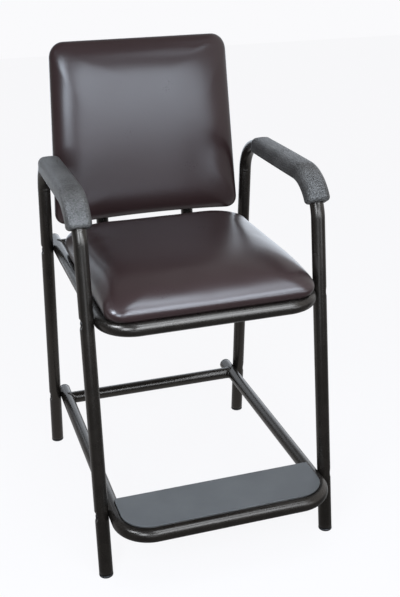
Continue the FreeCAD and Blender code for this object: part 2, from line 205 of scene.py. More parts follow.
def stops_on(length, coarse, marks, fine, reach):
    """Lengths for a tube's rings: every coarse step, and every fine step within reach of the marks."""
    close = np.asarray(marks)[:, None] + np.arange(-reach, reach, fine)
    stops = np.concatenate([np.arange(0, length, coarse), [length], close.ravel()])
    stops = np.unique(np.clip(stops, 0, length).round(5))
    return stops[np.append(np.diff(stops) > fine / 3, True)]


def rings(centre, way, flat, radius, around):
    """Rings round a centre line: radius times (cos turn in the plane of the bends + sin turn across it)."""
    turn = turns(around)
    out = np.cross(flat, way)
    spoke = np.cos(turn)[:, None] * out[:, None, :] + np.sin(turn)[:, None] * flat
    return centre[:, None, :] + np.broadcast_to(radius, (len(centre), around))[..., None] * spoke


def ring_quads(count, around):
    """Quads between each ring of points and the next, for rings counted one after another."""
    here = np.arange(around)
    there = np.roll(here, -1)
    base = (np.arange(count - 1) * around)[:, None]
    after = base + around
    return np.stack([base + here, base + there, after + there, after + here], -1).reshape(-1, 4)


def shell(rows):
    """Points and faces of a closed skin over rings of points: quads between the rings, and a fan from
    the middle of the first and of the last ring."""
    count, around = rows.shape[:2]
    here = np.arange(around)
    there = np.roll(here, -1)
    last = (count - 1) * around
    tip = np.full(around, count * around)
    first_fan = np.stack([there, here, tip], 1)
    last_fan = np.stack([last + here, last + there, tip + 1], 1)
    ends = np.stack([rows[0].mean(0), rows[-1].mean(0)])
    points = np.concatenate([rows.reshape(-1, 3), ends])
    return points, [ring_quads(count, around), np.concatenate([first_fan, last_fan])]


def volume_of(points, faces):
    """Six times the volume inside closed faces, from the triangles of each face's first corner."""
    total = 0.0
    for table in faces:
        first = points[table[:, 0]]
        for second in range(1, table.shape[1] - 1):
            cross = np.cross(points[table[:, second]], points[table[:, second + 1]])
            total += (first * cross).sum()
    return total


def gather(skins):
    """Several skins as one: their points in a row, and their faces counted on from each other. A skin
    whose volume comes out below nothing is inside out, so its faces are turned round."""
    points, faces, count = [], [], 0
    for skin_points, skin_faces in skins:
        turned = -1 if volume_of(skin_points, skin_faces) < 0 else 1
        points.append(skin_points)
        faces += [table[:, ::turned] + count for table in skin_faces]
        count += len(skin_points)
    return np.concatenate(points), faces


def make_piece(name, skins, finish, slot, *nodes):
    """An object made of closed skins with outward faces, shaded smooth, in place of its CAD nodes."""
    points, faces = gather(skins)
    mesh = bpy.data.meshes.new(name)
    mesh.from_pydata(points.tolist(), [], [face for table in faces for face in table.tolist()])
    mesh.shade_smooth()
    mesh.materials.append(finish)
    piece = bpy.data.objects.new(name, mesh)
    bpy.context.scene.collection.objects.link(piece)
    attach(piece, "root")
    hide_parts(*nodes)
    return piece


dark_bronze, pale_bronze = (0.0064, 0.0053, 0.0045, 1), (0.0100, 0.0082, 0.0068, 1)
bronze_paint, sockets, place = new_finish(
    "bronze_powder_coat", {"IOR": 1.5, "Specular Tint": (1.0, 0.91, 0.82, 1)})
mottle = place.noise(26.0, 4.0)
peel = place.noise(760.0, 2.0)
specks = place.noise(2300.0, 1.0).ramp(0.62, 0.70)
place.join(mottle.ramp(0.3, 0.7).mix(dark_bronze, pale_bronze), sockets["Base Color"])
place.join(0.22 + 0.10 * mottle + 0.06 * specks, sockets["Roughness"])
place.join(bump_of(peel + 0.25 * specks, 0.08, 0.00008), sockets["Normal"])


def side_frame_rows(side, low, high):
    """Rings of one side frame. The dimple brings the outer wall to a flat at a set depth within its
    radius, the bed keeps the inner wall outside the rail's circle, and the inside of each bend has a
    low crease where it starts and ends."""
    leg_x = (low.x + high.x) / 2
    arm_z = high.z - tube_r
    end_gap = tube_r / math.cos(leg_lean)
    rise = (arm_z - low.z) * math.tan(leg_lean)
    front_y, rear_y = low.y + end_gap, high.y - end_gap
    corners = [np.array(point) for point in (
        (leg_x, front_y, low.z), (leg_x, front_y + rise, arm_z),
        (leg_x, rear_y - rise, arm_z), (leg_x, rear_y, low.z))]
    line = bent_line(corners, arm_bend)
    whole = line[2][-1]
    heights = np.array([seat_rail_z, foot_rail_z])
    up = (heights - low.z) / math.cos(leg_lean)
    marks = np.concatenate([up, whole - up])
    turn = math.pi / 2 - leg_lean
    leg_run = (arm_z - low.z) / math.cos(leg_lean) - arm_bend * math.tan(turn / 2)
    creases = np.array([leg_run, leg_run + arm_bend * turn])
    creases = np.concatenate([creases, whole - creases])
    stops = stops_on(whole, coarse=0.009, marks=np.concatenate([marks, creases]), fine=0.0013, reach=0.020)
    centre, way = along(line, stops)
    inner = np.clip(-np.cos(turns(leg_sides)), 0, 1)
    gap = stops[:, None] - creases
    ridge = crease_rise * np.exp(-(gap / crease_width) ** 2)
    dips = dip_depth * np.exp(-((np.abs(gap) - dip_place) / dip_width) ** 2)
    radius = tube_r + (ridge - dips).sum(1)[:, None] * inner ** 1.4
    rows = rings(centre, way, rightward, radius, leg_sides)
    out = side * (rows[..., 0] - leg_x)
    across = ((rows - centre[:, None, :]) * np.cross(rightward, way)[:, None, :]).sum(-1)
    for mark in marks:
        reach = np.hypot(stops[:, None] - mark, across)
        hold = np.clip((dimple_flat + dimple_edge - reach) / dimple_edge, 0, 1)
        hold = hold * hold * (3 - 2 * hold)
        out = out - hold * np.maximum(out - (tube_r - dimple_depth), 0)
    for height in heights:
        level = rows[..., 2] - height
        bed = rail_x + np.sqrt(np.maximum((tube_r + bed_play) ** 2 - level ** 2, 0)) - abs(leg_x)
        pushed = 0.5 * (out + bed + np.hypot(out - bed, bed_round))
        out = np.where((np.abs(level) < tube_r) & (out < 0), pushed, out)
    rows[..., 0] = leg_x + side * out
    return rows


for hand in ("left", "right"):
    node = hand + "_side_frame"
    low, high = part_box(node)
    side = -1 if low.x < 0 else 1
    make_piece(hand + "_bent_side_tube", [shell(side_frame_rows(side, low, high))],
               bronze_paint, "frame_paint", node)


# Frame bolts. Eight black button-head bolts with hexagon sockets sit on the flats of the dimples and
# clamp the U frames to the legs.
head_r = 0.0070
head_rise = 0.0030
head_rim = 0.0006
head_bury = 0.0003
socket_r = 0.0026
socket_deep = 0.0016

black_bolt, sockets, place = new_finish("black_oxide_bolt", {"IOR": 1.5, "Metallic": 0.6})
place.join(place.noise(400.0).mix((0.010, 0.010, 0.011, 1), (0.022, 0.021, 0.021, 1)), sockets["Base Color"])
place.join(0.34 + 0.18 * place.noise(900.0), sockets["Roughness"])


def revolved(profile, foot, axis, around, six=()):
    """Rings of a turned piece: each (radius, height) of the profile goes round the axis from its foot.
    Rows listed in six follow a hexagon, whose radius is the flat's distance over cos(turn in a side)."""
    axis = unit(np.asarray(axis, float))
    first = unit(np.cross(axis, (0.31, 0.52, 0.79)))
    second = np.cross(axis, first)
    turn = turns(around)
    spoke = np.cos(turn)[:, None] * first + np.sin(turn)[:, None] * second
    profile = np.asarray(profile, float)
    radius = np.repeat(profile[:, :1], around, 1)
    hexagon = 1 / np.cos(np.mod(turn, np.pi / 3) - np.pi / 6)
    radius[list(six)] *= hexagon
    return np.asarray(foot) + profile[:, 1][:, None, None] * axis + radius[..., None] * spoke


def button_head(foot, axis):
    """A domed head: a quarter ellipse from its rim to a flat, then down into a hexagon socket."""
    arc = np.linspace(0, 1.25, 9)
    dome = np.stack([head_r * np.cos(arc) ** 0.8, head_rim + (head_rise - head_rim) * np.sin(arc)], 1)
    flat = dome[-1, 1]
    socket = [(socket_r * 1.2, flat + 0.00005), (socket_r, flat - 0.0002), (socket_r, flat - socket_deep),
              (socket_r * 0.5, flat - socket_deep - 0.0002)]
    profile = np.concatenate([[(head_r * 0.6, -head_bury), (head_r, -head_bury)], dome, socket])
    count = len(profile)
    return shell(revolved(profile, foot, axis, 36, six=(count - 3, count - 2)))


for node, height in (("seat_frame_bolts", seat_rail_z), ("footrest_frame_bolts", foot_rail_z)):
    skins = []
    for hand in ("left", "right"):
        low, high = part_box(hand + "_side_frame")
        side = -1 if low.x < 0 else 1
        drift = (height - low.z) * math.tan(leg_lean)
        end_gap = tube_r / math.cos(leg_lean)
        x = (low.x + high.x) / 2 + side * (tube_r - dimple_depth)
        for y in (low.y + end_gap + drift, high.y - end_gap - drift):
            skins.append(button_head((x, y, height), (side, 0, 0)))
    make_piece(node + "_button_heads", skins, black_bolt, "bolt_black", node)


# Foot glides. Four moulded plastic plugs pushed into the ends of the legs; their bottoms are cut level
# so that they sit flat on the floor under the leaning tubes.
round_sides = 56

moulded_black, sockets, place = new_finish("moulded_black_plastic", {"IOR": 1.46})
place.join(place.noise(90.0).mix((0.020, 0.020, 0.021, 1), (0.030, 0.030, 0.031, 1)), sockets["Base Color"])
place.join(0.42 + 0.16 * place.noise(300.0), sockets["Roughness"])
place.join(bump_of(place.noise(1500.0), 0.12, 0.0003), sockets["Normal"])


def glide_rows(node):
    """Level rings of one glide. Each ring is the leaning tube's level cut, an ellipse longer by
    1 / cos(lean), moved along the leg's line, with a rounded bottom edge and a small lip."""
    low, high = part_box(node)
    side_low, side_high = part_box("left_side_frame" if low.x < 0 else "right_side_frame")
    end_gap = tube_r / math.cos(leg_lean)
    front = low.y + high.y < side_low.y + side_high.y
    foot_y = side_low.y + end_gap if front else side_high.y - end_gap
    lean = math.tan(leg_lean) * (1 if front else -1)
    profile = np.array([(-0.0020, 0.0), (-0.0008, 0.0002), (0.0, 0.0010), (0.0003, 0.0022),
                        (0.0003, 0.0040), (0.0, 0.0048), (-0.0006, 0.0052), (-0.0016, 0.0054),
                        (-0.0017, 0.0200)])
    turn = turns(round_sides)
    radius = (tube_r + profile[:, :1]) + 0 * turn
    level = profile[:, 1:] + 0 * turn
    x = (low.x + high.x) / 2 + radius * np.cos(turn)
    y = foot_y + (level - side_low.z) * lean + radius * np.sin(turn) / math.cos(leg_lean)
    return np.stack([x, y, level], -1)


for end in ("front", "rear"):
    for hand in ("left", "right"):
        node = f"{end}_{hand}_glide"
        make_piece(f"{end}_{hand}_foot_plug", [shell(glide_rows(node))],
                   moulded_black, "plug_black", node)


# U frames. Two lengths of the same tube, each bent into a U that lies level between the legs: one
# carries the seat and one the footrest. They are bolted to the legs and open to the rear.
u_bend = 0.071
u_flatten = 0.015
upward = np.array([0.0, 0.0, 1.0])


def u_rows(node):
    """Rings of a level U: tail, bend, nose, bend, tail, with the tube a little flattened in its bends."""
    low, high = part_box(node)
    nose = low.y + tube_r
    level = (low.z + high.z) / 2
    corners = [np.array(point) for point in (
        (-rail_x, high.y, level), (-rail_x, nose, level), (rail_x, nose, level), (rail_x, high.y, level))]
    line = bent_line(corners, u_bend)
    whole = line[2][-1]
    start = high.y - nose - u_bend
    bends = np.array([start, start + u_bend * np.pi / 2])
    bends = np.concatenate([bends, whole - bends])
    stops = stops_on(whole, coarse=0.007, marks=bends, fine=0.002, reach=0.014)
    centre, way = along(line, stops)
    off_bend = np.abs(np.minimum(stops, whole - stops) - bends[:2].mean())
    in_bend = np.clip(1 - off_bend / (u_bend * 0.8), 0, 1)
    flattened = np.sqrt(in_bend)[:, None] * np.clip(np.cos(2 * turns(round_sides)), 0, 1)
    return rings(centre, way, upward, tube_r * (1 - u_flatten * flattened), round_sides)


for use in ("seat", "footrest"):
    node = use + "_frame_tube"
    make_piece(use + "_u_tube", [shell(u_rows(node))], bronze_paint, "frame_paint", node)


# Cross rails. A straight tube closes each U near its tails; its ends are cut to fit round the rails
# and welded all round, and the beads are painted over with the frame.
cope_overlap = 0.0004
weld_size = 0.0024
weld_ripples = 22
weld_points = 132
weld_sides = 14
weld_round = 0.015


def coped_rail(node):
    """Rings of a straight tube along X whose ends follow the rails: its half length at each turn is
    the rail's centre line less the rail's half width at that height."""
    low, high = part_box(node)
    middle = np.array([(low.y + high.y) / 2, (low.z + high.z) / 2])
    turn = turns(round_sides)
    half = rail_x - tube_r * np.abs(np.cos(turn)) + cope_overlap
    x = np.linspace(-1, 1, 50)[:, None] * half
    y = middle[0] + tube_r * np.cos(turn) + 0 * x
    z = middle[1] + tube_r * np.sin(turn) + 0 * x
    return np.stack([x, y, z], -1)


def loop_skin(rows):
    """Points and faces of a closed loop of rings: quads between neighbours both ways round."""
    count, around = rows.shape[:2]
    return rows.reshape(-1, 3), [ring_quads(count + 1, around) % (count * around)]


def weld_bead(points, outward):
    """A bead along a closed joint line: a small round section, flatter along the outward way, whose
    size swells with each ripple of the weld."""
    way = unit(np.roll(points, -1, 0) - np.roll(points, 1, 0))
    outward = unit(outward - (outward * way).sum(1, keepdims=True) * way)
    across = np.cross(way, outward)
    run = turns(len(points))
    swell = weld_size * (1 + 0.10 * np.sin(weld_ripples * run) + 0.08 * np.sin(3 * run + 1.0))
    turn = turns(weld_sides)[:, None]
    spoke = 0.75 * np.cos(turn) * outward[:, None, :] + 1.25 * np.sin(turn) * across[:, None, :]
    return loop_skin(points[:, None, :] + swell[:, None, None] * spoke)


def rail_weld(node, side):
    """The joint line between two equal tubes: where the cross rail's circle meets the rail's circle."""
    low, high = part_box(node)
    turn = turns(weld_points)
    reach = np.sqrt(np.cos(turn) ** 2 + weld_round)
    points = np.stack([side * (rail_x - tube_r * reach), (low.y + high.y) / 2 + tube_r * np.cos(turn),
                       (low.z + high.z) / 2 + tube_r * np.sin(turn)], 1)
    outward = np.stack([-side * reach, np.cos(turn), 2 * np.sin(turn)], 1)
    return weld_bead(points, outward)


for node in ("seat_cross_rail", "footrest_cross_rail"):
    skins = [shell(coped_rail(node)), rail_weld(node, -1), rail_weld(node, 1)]
    make_piece(node + "_and_welds", skins, bronze_paint, "frame_paint", node)


# Back uprights. Two tubes stand on the seat's cross rail, leaning back a little, and carry the back.
# Their feet are cut to sit over the rail and welded to it.
back_lean = math.radians(4.9)
upright_top = 0.330
upright_base = np.array([0.0, (rail_low.y + rail_high.y) / 2, seat_rail_z])
back_up = np.array([0.0, math.sin(back_lean), math.cos(back_lean)])
back_ahead = np.array([0.0, -math.cos(back_lean), math.sin(back_lean)])


def upright_spokes(turn):
    """Spokes across an upright: cos turn to the right + sin turn ahead."""
    return np.cos(turn)[:, None] * rightward + np.sin(turn)[:, None] * back_ahead


def upright_skins(node):
    """A tube up the back's line and its weld. At each turn its foot stands at the height of the cross
    rail's circle, radius times |cos turn|."""
    low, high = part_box(node)
    start = upright_base + (low.x + high.x) / 2 * rightward
    turn = turns(round_sides)
    foot = tube_r * np.abs(np.cos(turn)) - cope_overlap
    height = foot + (upright_top - foot) * np.linspace(0, 1, 40)[:, None]
    rows = start + tube_r * upright_spokes(turn) + height[..., None] * back_up
    turn = turns(weld_points)
    reach = np.sqrt(np.cos(turn) ** 2 + weld_round)[:, None] * back_up
    spokes = upright_spokes(turn)
    outward = spokes + reach + np.sin(turn)[:, None] * back_ahead
    return [shell(rows), weld_bead(start + tube_r * (spokes + reach), outward)]


for hand in ("left", "right"):
    node = hand + "_back_upright"
    make_piece(hand + "_upright_and_weld", upright_skins(node), bronze_paint, "frame_paint", node)


# Tube plugs. Domed black plastic plugs, moulded with a thin collar and pushed into the open ends of the
# tubes. They close the rear ends of both U frames and the tops of the uprights.
def domed_plug(mouth, way):
    """A turned plug: a thin collar on the tube's end, a rounded rim and a shallow dome."""
    arc = np.linspace(0, math.pi / 2, 7)
    rim = np.stack([tube_r - 0.0020 + 0.0022 * np.cos(arc), 0.0010 + 0.0018 * np.sin(arc)], 1)
    dome = [(tube_r * share, 0.0028 + 0.0004 * (1 - share ** 2)) for share in (0.7, 0.4, 0.15)]
    stem = [(tube_r - 0.0018, -0.010), (tube_r - 0.0017, -0.0002), (tube_r, 0.0)]
    return shell(revolved(np.concatenate([stem, rim, dome]), mouth, way, round_sides))


for use in ("seat", "footrest"):
    node = use + "_tube_plugs"
    low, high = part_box(use + "_frame_tube")
    level = (low.z + high.z) / 2
    skins = [domed_plug((side * rail_x, high.y, level), (0, 1, 0)) for side in (-1, 1)]
    make_piece(node + "_domed", skins, moulded_black, "plug_black", node)

skins = []
for hand in ("left", "right"):
    low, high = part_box(hand + "_back_upright")
    mouth = upright_base + (low.x + high.x) / 2 * rightward + upright_top * back_up
    skins.append(domed_plug(mouth, back_up))
make_piece("upright_plugs_domed", skins, moulded_black, "plug_black", "upright_plugs")


# Straps and fasteners. Flat steel straps cross the U frames under the seat board and the footrest
# plate, painted with the frame. The screws, nuts and back bolts are zinc-plated steel.
def refinish(finish, *nodes):
    """Gives CAD nodes whose shape is right a better material."""
    for node in nodes:
        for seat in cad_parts[node].material_slots:
            seat.material = finish


zinc_plate, sockets, place = new_finish("zinc_plate", {"Metallic": 1.0})
place.join(place.noise(120.0, 4.0).mix((0.42, 0.43, 0.44, 1), (0.56, 0.56, 0.55, 1)), sockets["Base Color"])
place.join(0.30 + 0.20 * place.noise(500.0), sockets["Roughness"])
place.join(bump_of(place.noise(1800.0), 0.10, 0.0002), sockets["Normal"])

refinish(bronze_paint, "front_seat_strap", "rear_seat_strap", "footrest_strap")
refinish(zinc_plate, "arm_pad_screws", "seat_board_screws", "footrest_plate_screws", "seat_frame_nuts",
         "footrest_frame_nuts", "back_tee_nuts", "back_bolts")


# Seat and back boards. Birch plywood cut to the cushions' outlines. The seat's board is screwed to the
# straps and shows from below; the back's is bolted to the uprights inside the back.
plywood, sockets, place = new_finish("birch_plywood", {"IOR": 1.45})
stretch = place.make("ShaderNodeMapping", {}, {"Vector": place, "Scale": (1.0, 14.0, 14.0)})
figure = stretch.noise(9.0, 5.0)
plies = place.make("ShaderNodeTexWave", {"bands_direction": "Z"},
                   {"Vector": place, "Scale": 260.0, "Distortion": 0.6, "Detail": 2.0}, "Fac")
grain = 0.75 * figure + 0.25 * plies
place.join(grain.mix((0.30, 0.19, 0.105, 1), (0.56, 0.41, 0.26, 1)), sockets["Base Color"])
place.join(0.52 + 0.20 * figure, sockets["Roughness"])
place.join(bump_of(stretch.noise(60.0, 3.0), 0.15, 0.0004), sockets["Normal"])
refinish(plywood, "seat_board", "back_board")


# Footrest plate. A flat moulded plate, blue-grey with a fine matt grain, screwed down on the front of
# the footrest frame; its front corners follow the tube's bends.
plate_low, plate_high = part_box("footrest_plate")
plate_corner = 0.063
plate_nose = plate_corner + rail_x + plate_low.x
plate_heel = 0.004
plate_edge = 0.0012
plate_count = 34


def plan_grid(count):
    """A square grid of points taken as nested square rings: the ring's number, whether the point is on
    an X side, and its place along that side from -1 to 1."""
    step = np.arange(-count, count + 1)
    a, b = np.meshgrid(step, step, indexing="ij")
    ring = np.maximum(np.abs(a), np.abs(b))
    on_x = np.abs(a) >= np.abs(b)
    place_on = np.where(on_x, b, a) / np.maximum(ring, 1)
    sign = np.sign(np.where(on_x, a, b))
    return ring, on_x, place_on, sign


def round_plan(grid, half_x, half_y, front_r, rear_r):
    """X and Y of nested rounded rectangles: each side runs straight from its middle, then turns an
    eighth of a circle to the corner's diagonal, where the next side takes over."""
    ring, on_x, place_on, sign = grid
    radius = np.where(np.where(on_x, place_on, sign) < 0, front_r, rear_r)
    radius = np.maximum(np.minimum(radius, np.minimum(half_x, half_y)), 1e-6)
    along_half = np.where(on_x, half_y, half_x)
    out_half = np.where(on_x, half_x, half_y)
    straight = along_half - radius
    run = np.abs(place_on) * (straight + radius * np.pi / 4)
    bend = np.clip((run - straight) / radius, 0, None)
    length = np.minimum(run, straight) + radius * np.sin(bend)
    out = out_half - radius * (1 - np.cos(bend))
    length, out = np.sign(place_on) * length, sign * out
    return np.where(on_x, out, length), np.where(on_x, length, out)


def two_sheets(top, bottom):
    """Points and faces of two square grids that share their outer ring of points."""
    size = top.shape[0]
    index = np.arange(size * size).reshape(size, size)
    inside = np.zeros((size, size), bool)
    inside[1:-1, 1:-1] = True
    under = index.copy()
    under[inside] = size * size + np.arange(inside.sum())
    upper, lower = [np.stack([sheet[:-1, :-1], sheet[1:, :-1], sheet[1:, 1:], sheet[:-1, 1:]], -1)
                    for sheet in (index, under)]
    points = np.concatenate([top.reshape(-1, 3), bottom[inside]])
    return points, [upper.reshape(-1, 4), lower.reshape(-1, 4)[:, ::-1]]


def far_draw(draw, short, long_):
    """Draw-in of the longer half size: the shorter one's, and the rest of the length by the cube of the
    share drawn in, so that both reach nothing at the middle."""
    return draw + (long_ - short) * (draw / short) ** 3


def plate_skin():
    """A flat plate over a rounded outline: its edge goes out, up and in again with a small round."""
    grid = plan_grid(plate_count)
    inward = plate_count - grid[0]
    half_x = (plate_high.x - plate_low.x) / 2
    half_y = (plate_high.y - plate_low.y) / 2
    middle_y = (plate_high.y + plate_low.y) / 2
    thick = plate_high.z - plate_low.z
    draw = np.interp(inward, [0, 1, 2, 3, plate_count], [0.0, 0.0003, 0.0009, 0.0022, half_y])
    far = far_draw(draw, half_y, half_x)
    x, y = round_plan(grid, half_x - far, half_y - draw, plate_nose, plate_heel)
    drop = np.interp(inward, [0, 1, 2, 3, plate_count], [plate_edge, 0.0004, 0.0001, 0.0, 0.0])
    top = np.stack([x, middle_y + y, plate_high.z - drop], -1)
    drop = np.interp(inward, [0, 1, 2, plate_count], [plate_edge, thick - 0.0004, thick, thick])
    bottom = np.stack([x, middle_y + y, plate_high.z - drop], -1)
    return two_sheets(top, bottom)


plate_grey, sockets, place = new_finish("blue_grey_plate", {"IOR": 1.46})
grain = place.noise(1300.0, 2.0)
shade = place.noise(9.0, 3.0)
dark_plate, pale_plate = (0.074, 0.076, 0.077, 1), (0.098, 0.100, 0.100, 1)
place.join(shade.ramp(0.25, 0.75).mix(dark_plate, pale_plate), sockets["Base Color"])
place.join(0.40 + 0.10 * shade + 0.08 * grain, sockets["Roughness"])
place.join(bump_of(grain, 0.18, 0.00025), sockets["Normal"])
make_piece("footrest_flat_plate", [plate_skin()], plate_grey, "plate_grey", "footrest_plate")


# Arm pads. Moulded grey foam with a pebbled skin, pressed over the arm rails and round the front bends,
# and held by two screws from below. The top is flat with soft shoulders, the ends are rounded.
pad_half = 0.0275
pad_rise = 0.031
pad_drop = 0.007
pad_top_r = 0.016
pad_low_r = 0.006
pad_end_r = 0.009
pad_wrap = math.radians(62.0)
pad_groove = tube_r + 0.0003
pad_crown = 0.0006
pad_swell = 0.0006
pad_fade = 0.012


def pad_profile(count):
    """The pad's section as two lines from its left lip to its right lip: outside, up one side, over
    the top and down the other with round corners; inside, the groove's arc over the rail."""
    lip = math.sqrt(pad_groove ** 2 - pad_drop ** 2)
    arc = np.linspace(0, np.pi / 2, 24)[:, None]
    low = np.concatenate([-pad_half + pad_low_r * (1 - np.sin(arc)),
                          -pad_drop + pad_low_r * (1 - np.cos(arc))], 1)
    top = np.concatenate([-pad_half + pad_top_r * (1 - np.cos(arc)),
                          pad_rise - pad_top_r * (1 - np.sin(arc))], 1)
    crown = np.array([[-0.006, pad_rise + pad_crown - 0.0001], [0.0, pad_rise + pad_crown]])
    left = np.concatenate([[(-lip, -pad_drop)], low, top, crown])
    line = np.concatenate([left, left[-2::-1] * (-1, 1)])
    steps = np.concatenate([[0], np.cumsum(np.linalg.norm(np.diff(line, axis=0), axis=1))])
    share = np.linspace(0, steps[-1], count)
    outside = np.stack([np.interp(share, steps, line[:, 0]), np.interp(share, steps, line[:, 1])], 1)
    start = math.atan2(-pad_drop, lip)
    turn = np.linspace(np.pi - start, start, count)
    return outside, pad_groove * np.stack([np.cos(turn), np.sin(turn)], 1)


def pad_rows(node):
    """The section carried from the rear end along the arm rail and down the front bend. Near each end
    the outside draws in towards the groove along a quarter circle."""
    low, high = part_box(node)
    side_low, side_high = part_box("left_side_frame" if low.x < 0 else "right_side_frame")
    leg_x = (side_low.x + side_high.x) / 2
    arm_z = side_high.z - tube_r
    turn = math.pi / 2 - leg_lean
    rise = (arm_z - side_low.z) * math.tan(leg_lean)
    corner_y = side_low.y + tube_r / math.cos(leg_lean) + rise
    bend_y = corner_y + arm_bend * math.tan(turn / 2)
    run = high.y - bend_y
    whole = run + arm_bend * pad_wrap
    ends = pad_end_r * (1 - np.cos(np.linspace(0, np.pi / 2, 10)))
    between = np.linspace(ends[-1], whole - ends[-1], 110)
    stops = np.unique(np.concatenate([ends, between, whole - ends]).round(6))
    angle = np.clip((stops - run) / arm_bend, 0, None)
    middle_y = np.where(stops < run, high.y - stops, bend_y - arm_bend * np.sin(angle))
    middle_z = arm_z - arm_bend * (1 - np.cos(angle))
    outside, inside = pad_profile(84)
    to_end = np.minimum(stops, whole - stops)
    draw = pad_end_r - np.sqrt(np.maximum(pad_end_r ** 2 - np.maximum(pad_end_r - to_end, 0) ** 2, 0))
    slope = np.gradient(outside, axis=0)
    normal = unit(np.stack([-slope[:, 1], slope[:, 0]], 1))
    fade = np.clip(np.linalg.norm(outside - inside, axis=1) / pad_fade, 0, 1)[None, :, None]
    swell = pad_swell * np.sin(np.pi * stops / whole)[:, None, None] * fade
    skin = outside - (draw[:, None, None] * fade - swell) * normal
    section = np.concatenate([skin, np.broadcast_to(inside[::-1], (len(stops),) + inside.shape)], 1)
    x = leg_x + section[..., 0]
    y = middle_y[:, None] - np.sin(angle)[:, None] * section[..., 1]
    z = middle_z[:, None] + np.cos(angle)[:, None] * section[..., 1]
    return np.stack([x, y, z], -1)


def pad_skin(rows):
    """Quads between the rings, and each end closed by quads from the outside line to the groove's."""
    count, around = rows.shape[:2]
    outer = np.arange(around // 2 - 1)
    inner = around - 1 - outer
    first = np.stack([outer + 1, outer, inner, inner - 1], 1)
    last = (count - 1) * around + first[:, ::-1]
    return rows.reshape(-1, 3), [np.concatenate([ring_quads(count, around), first, last])]


pad_foam, sockets, place = new_finish("pebbled_grey_foam", {"IOR": 1.45})
dark_foam, pale_foam = (0.027, 0.025, 0.023, 1), (0.103, 0.099, 0.094, 1)
pebble = place.cells(300.0)
fleck = place.noise(300.0, 2.0)
cloud = place.noise(22.0, 3.0)
speckle = (0.35 * cloud + 0.65 * fleck).ramp(0.34, 0.66)
place.join(speckle.mix(dark_foam, pale_foam), sockets["Base Color"])
place.join(0.40 + 0.16 * fleck, sockets["Roughness"])
place.join(bump_of(pebble * -1.0 + 0.6 * fleck, 0.75, 0.0018), sockets["Normal"])
for hand in ("left", "right"):
    node = hand + "_arm_pad"
    pad = make_piece(hand + "_moulded_arm_pad", [pad_skin(pad_rows(node))],
                     pad_foam, "pad_foam", node)


# Seat cushion. Thick foam on the seat board under one sheet of dark brown upholstery vinyl, pulled
# round the edge and stapled underneath. The foam is rounded off towards the front, so the taut top
# falls there in one soft slope.
seat_low, seat_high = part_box("seat_cushion")
seat_front_r = 0.040
seat_back_r = 0.056
seat_roll = 0.049
seat_roll_width = 0.105
seat_crown = 0.003
seat_waist = 0.026
seat_tuck = 0.013
seat_sink = 0.0035
seat_fall = 0.40
seat_fall_run = 0.240
seat_spare = 0.0015
seat_calm = 8
cushion_count = 46
corner_growth = 0.6
under_rise = 0.002
fill_pressure = 4.0
fill_frames = 20
fill_cap = 0.0022


def pillow_line(half, roll, roll_width, crown, waist, tuck, sink):
    """Draw-in and height along a cushion's section from its middle to its lower rim, evenly spaced:
    a shallow crown, then a roll that rises as the square root of 1 - (1 - share of its width) cubed,
    then a quarter ellipse under the waist, down to the sink below the board."""
    draw = half * np.linspace(1, 0, 4000) ** 2
    inner = np.clip(draw / roll_width, 0, 1)
    top = waist + roll * np.sqrt(1 - (1 - inner) ** 3) + crown * (1 - (1 - draw / half) ** 2)
    turn = np.linspace(0, np.pi / 2, 400)[1:]
    draw = np.concatenate([draw, tuck * (1 - np.cos(turn))])
    level = np.concatenate([top, waist - (waist + sink) * np.sin(turn)])
    steps = np.concatenate([[0], np.cumsum(np.hypot(np.diff(draw), np.diff(level)))])
    share = np.linspace(0, steps[-1], cushion_count + 1)
    return np.interp(share, steps, draw), np.interp(share, steps, level)


def cushion_sheets(half_x, half_y, front_r, rear_r, line):
    """X, Y and level of the cushion's upper skin and underside on nested rounded rectangles. Both half
    sizes lose the same draw-in near the edge and reach nothing at the middle, and the corners grow
    rounder inwards. The underside steps up from its rim into the board."""
    grid = plan_grid(cushion_count)
    ring = grid[0]
    draw, level = line[0][ring], line[1][ring]
    far = far_draw(draw, min(half_x, half_y), max(half_x, half_y))
    in_x, in_y = (draw, far) if half_x < half_y else (far, draw)
    growth = corner_growth * draw
    x, y = round_plan(grid, half_x - in_x, half_y - in_y, front_r + growth, rear_r + growth)
    top = np.stack([x, y, level], -1)
    share = ring / cushion_count
    rim_draw, rim_level = line[0][-1], line[1][-1]
    rim_x, rim_y = round_plan(grid, (half_x - rim_draw) * share, (half_y - rim_draw) * share,
                              front_r * share, rear_r * share)
    under = np.interp(cushion_count - ring, [0, 1, 4, cushion_count],
                      [rim_level, rim_level, under_rise, under_rise])
    return top, np.stack([rim_x, rim_y, under], -1)


def points_of(mesh):
    """A mesh's points, one in each row."""
    numbers = np.empty(len(mesh.vertices) * 3)
    mesh.vertices.foreach_get("co", numbers)
    return numbers.reshape(-1, 3)


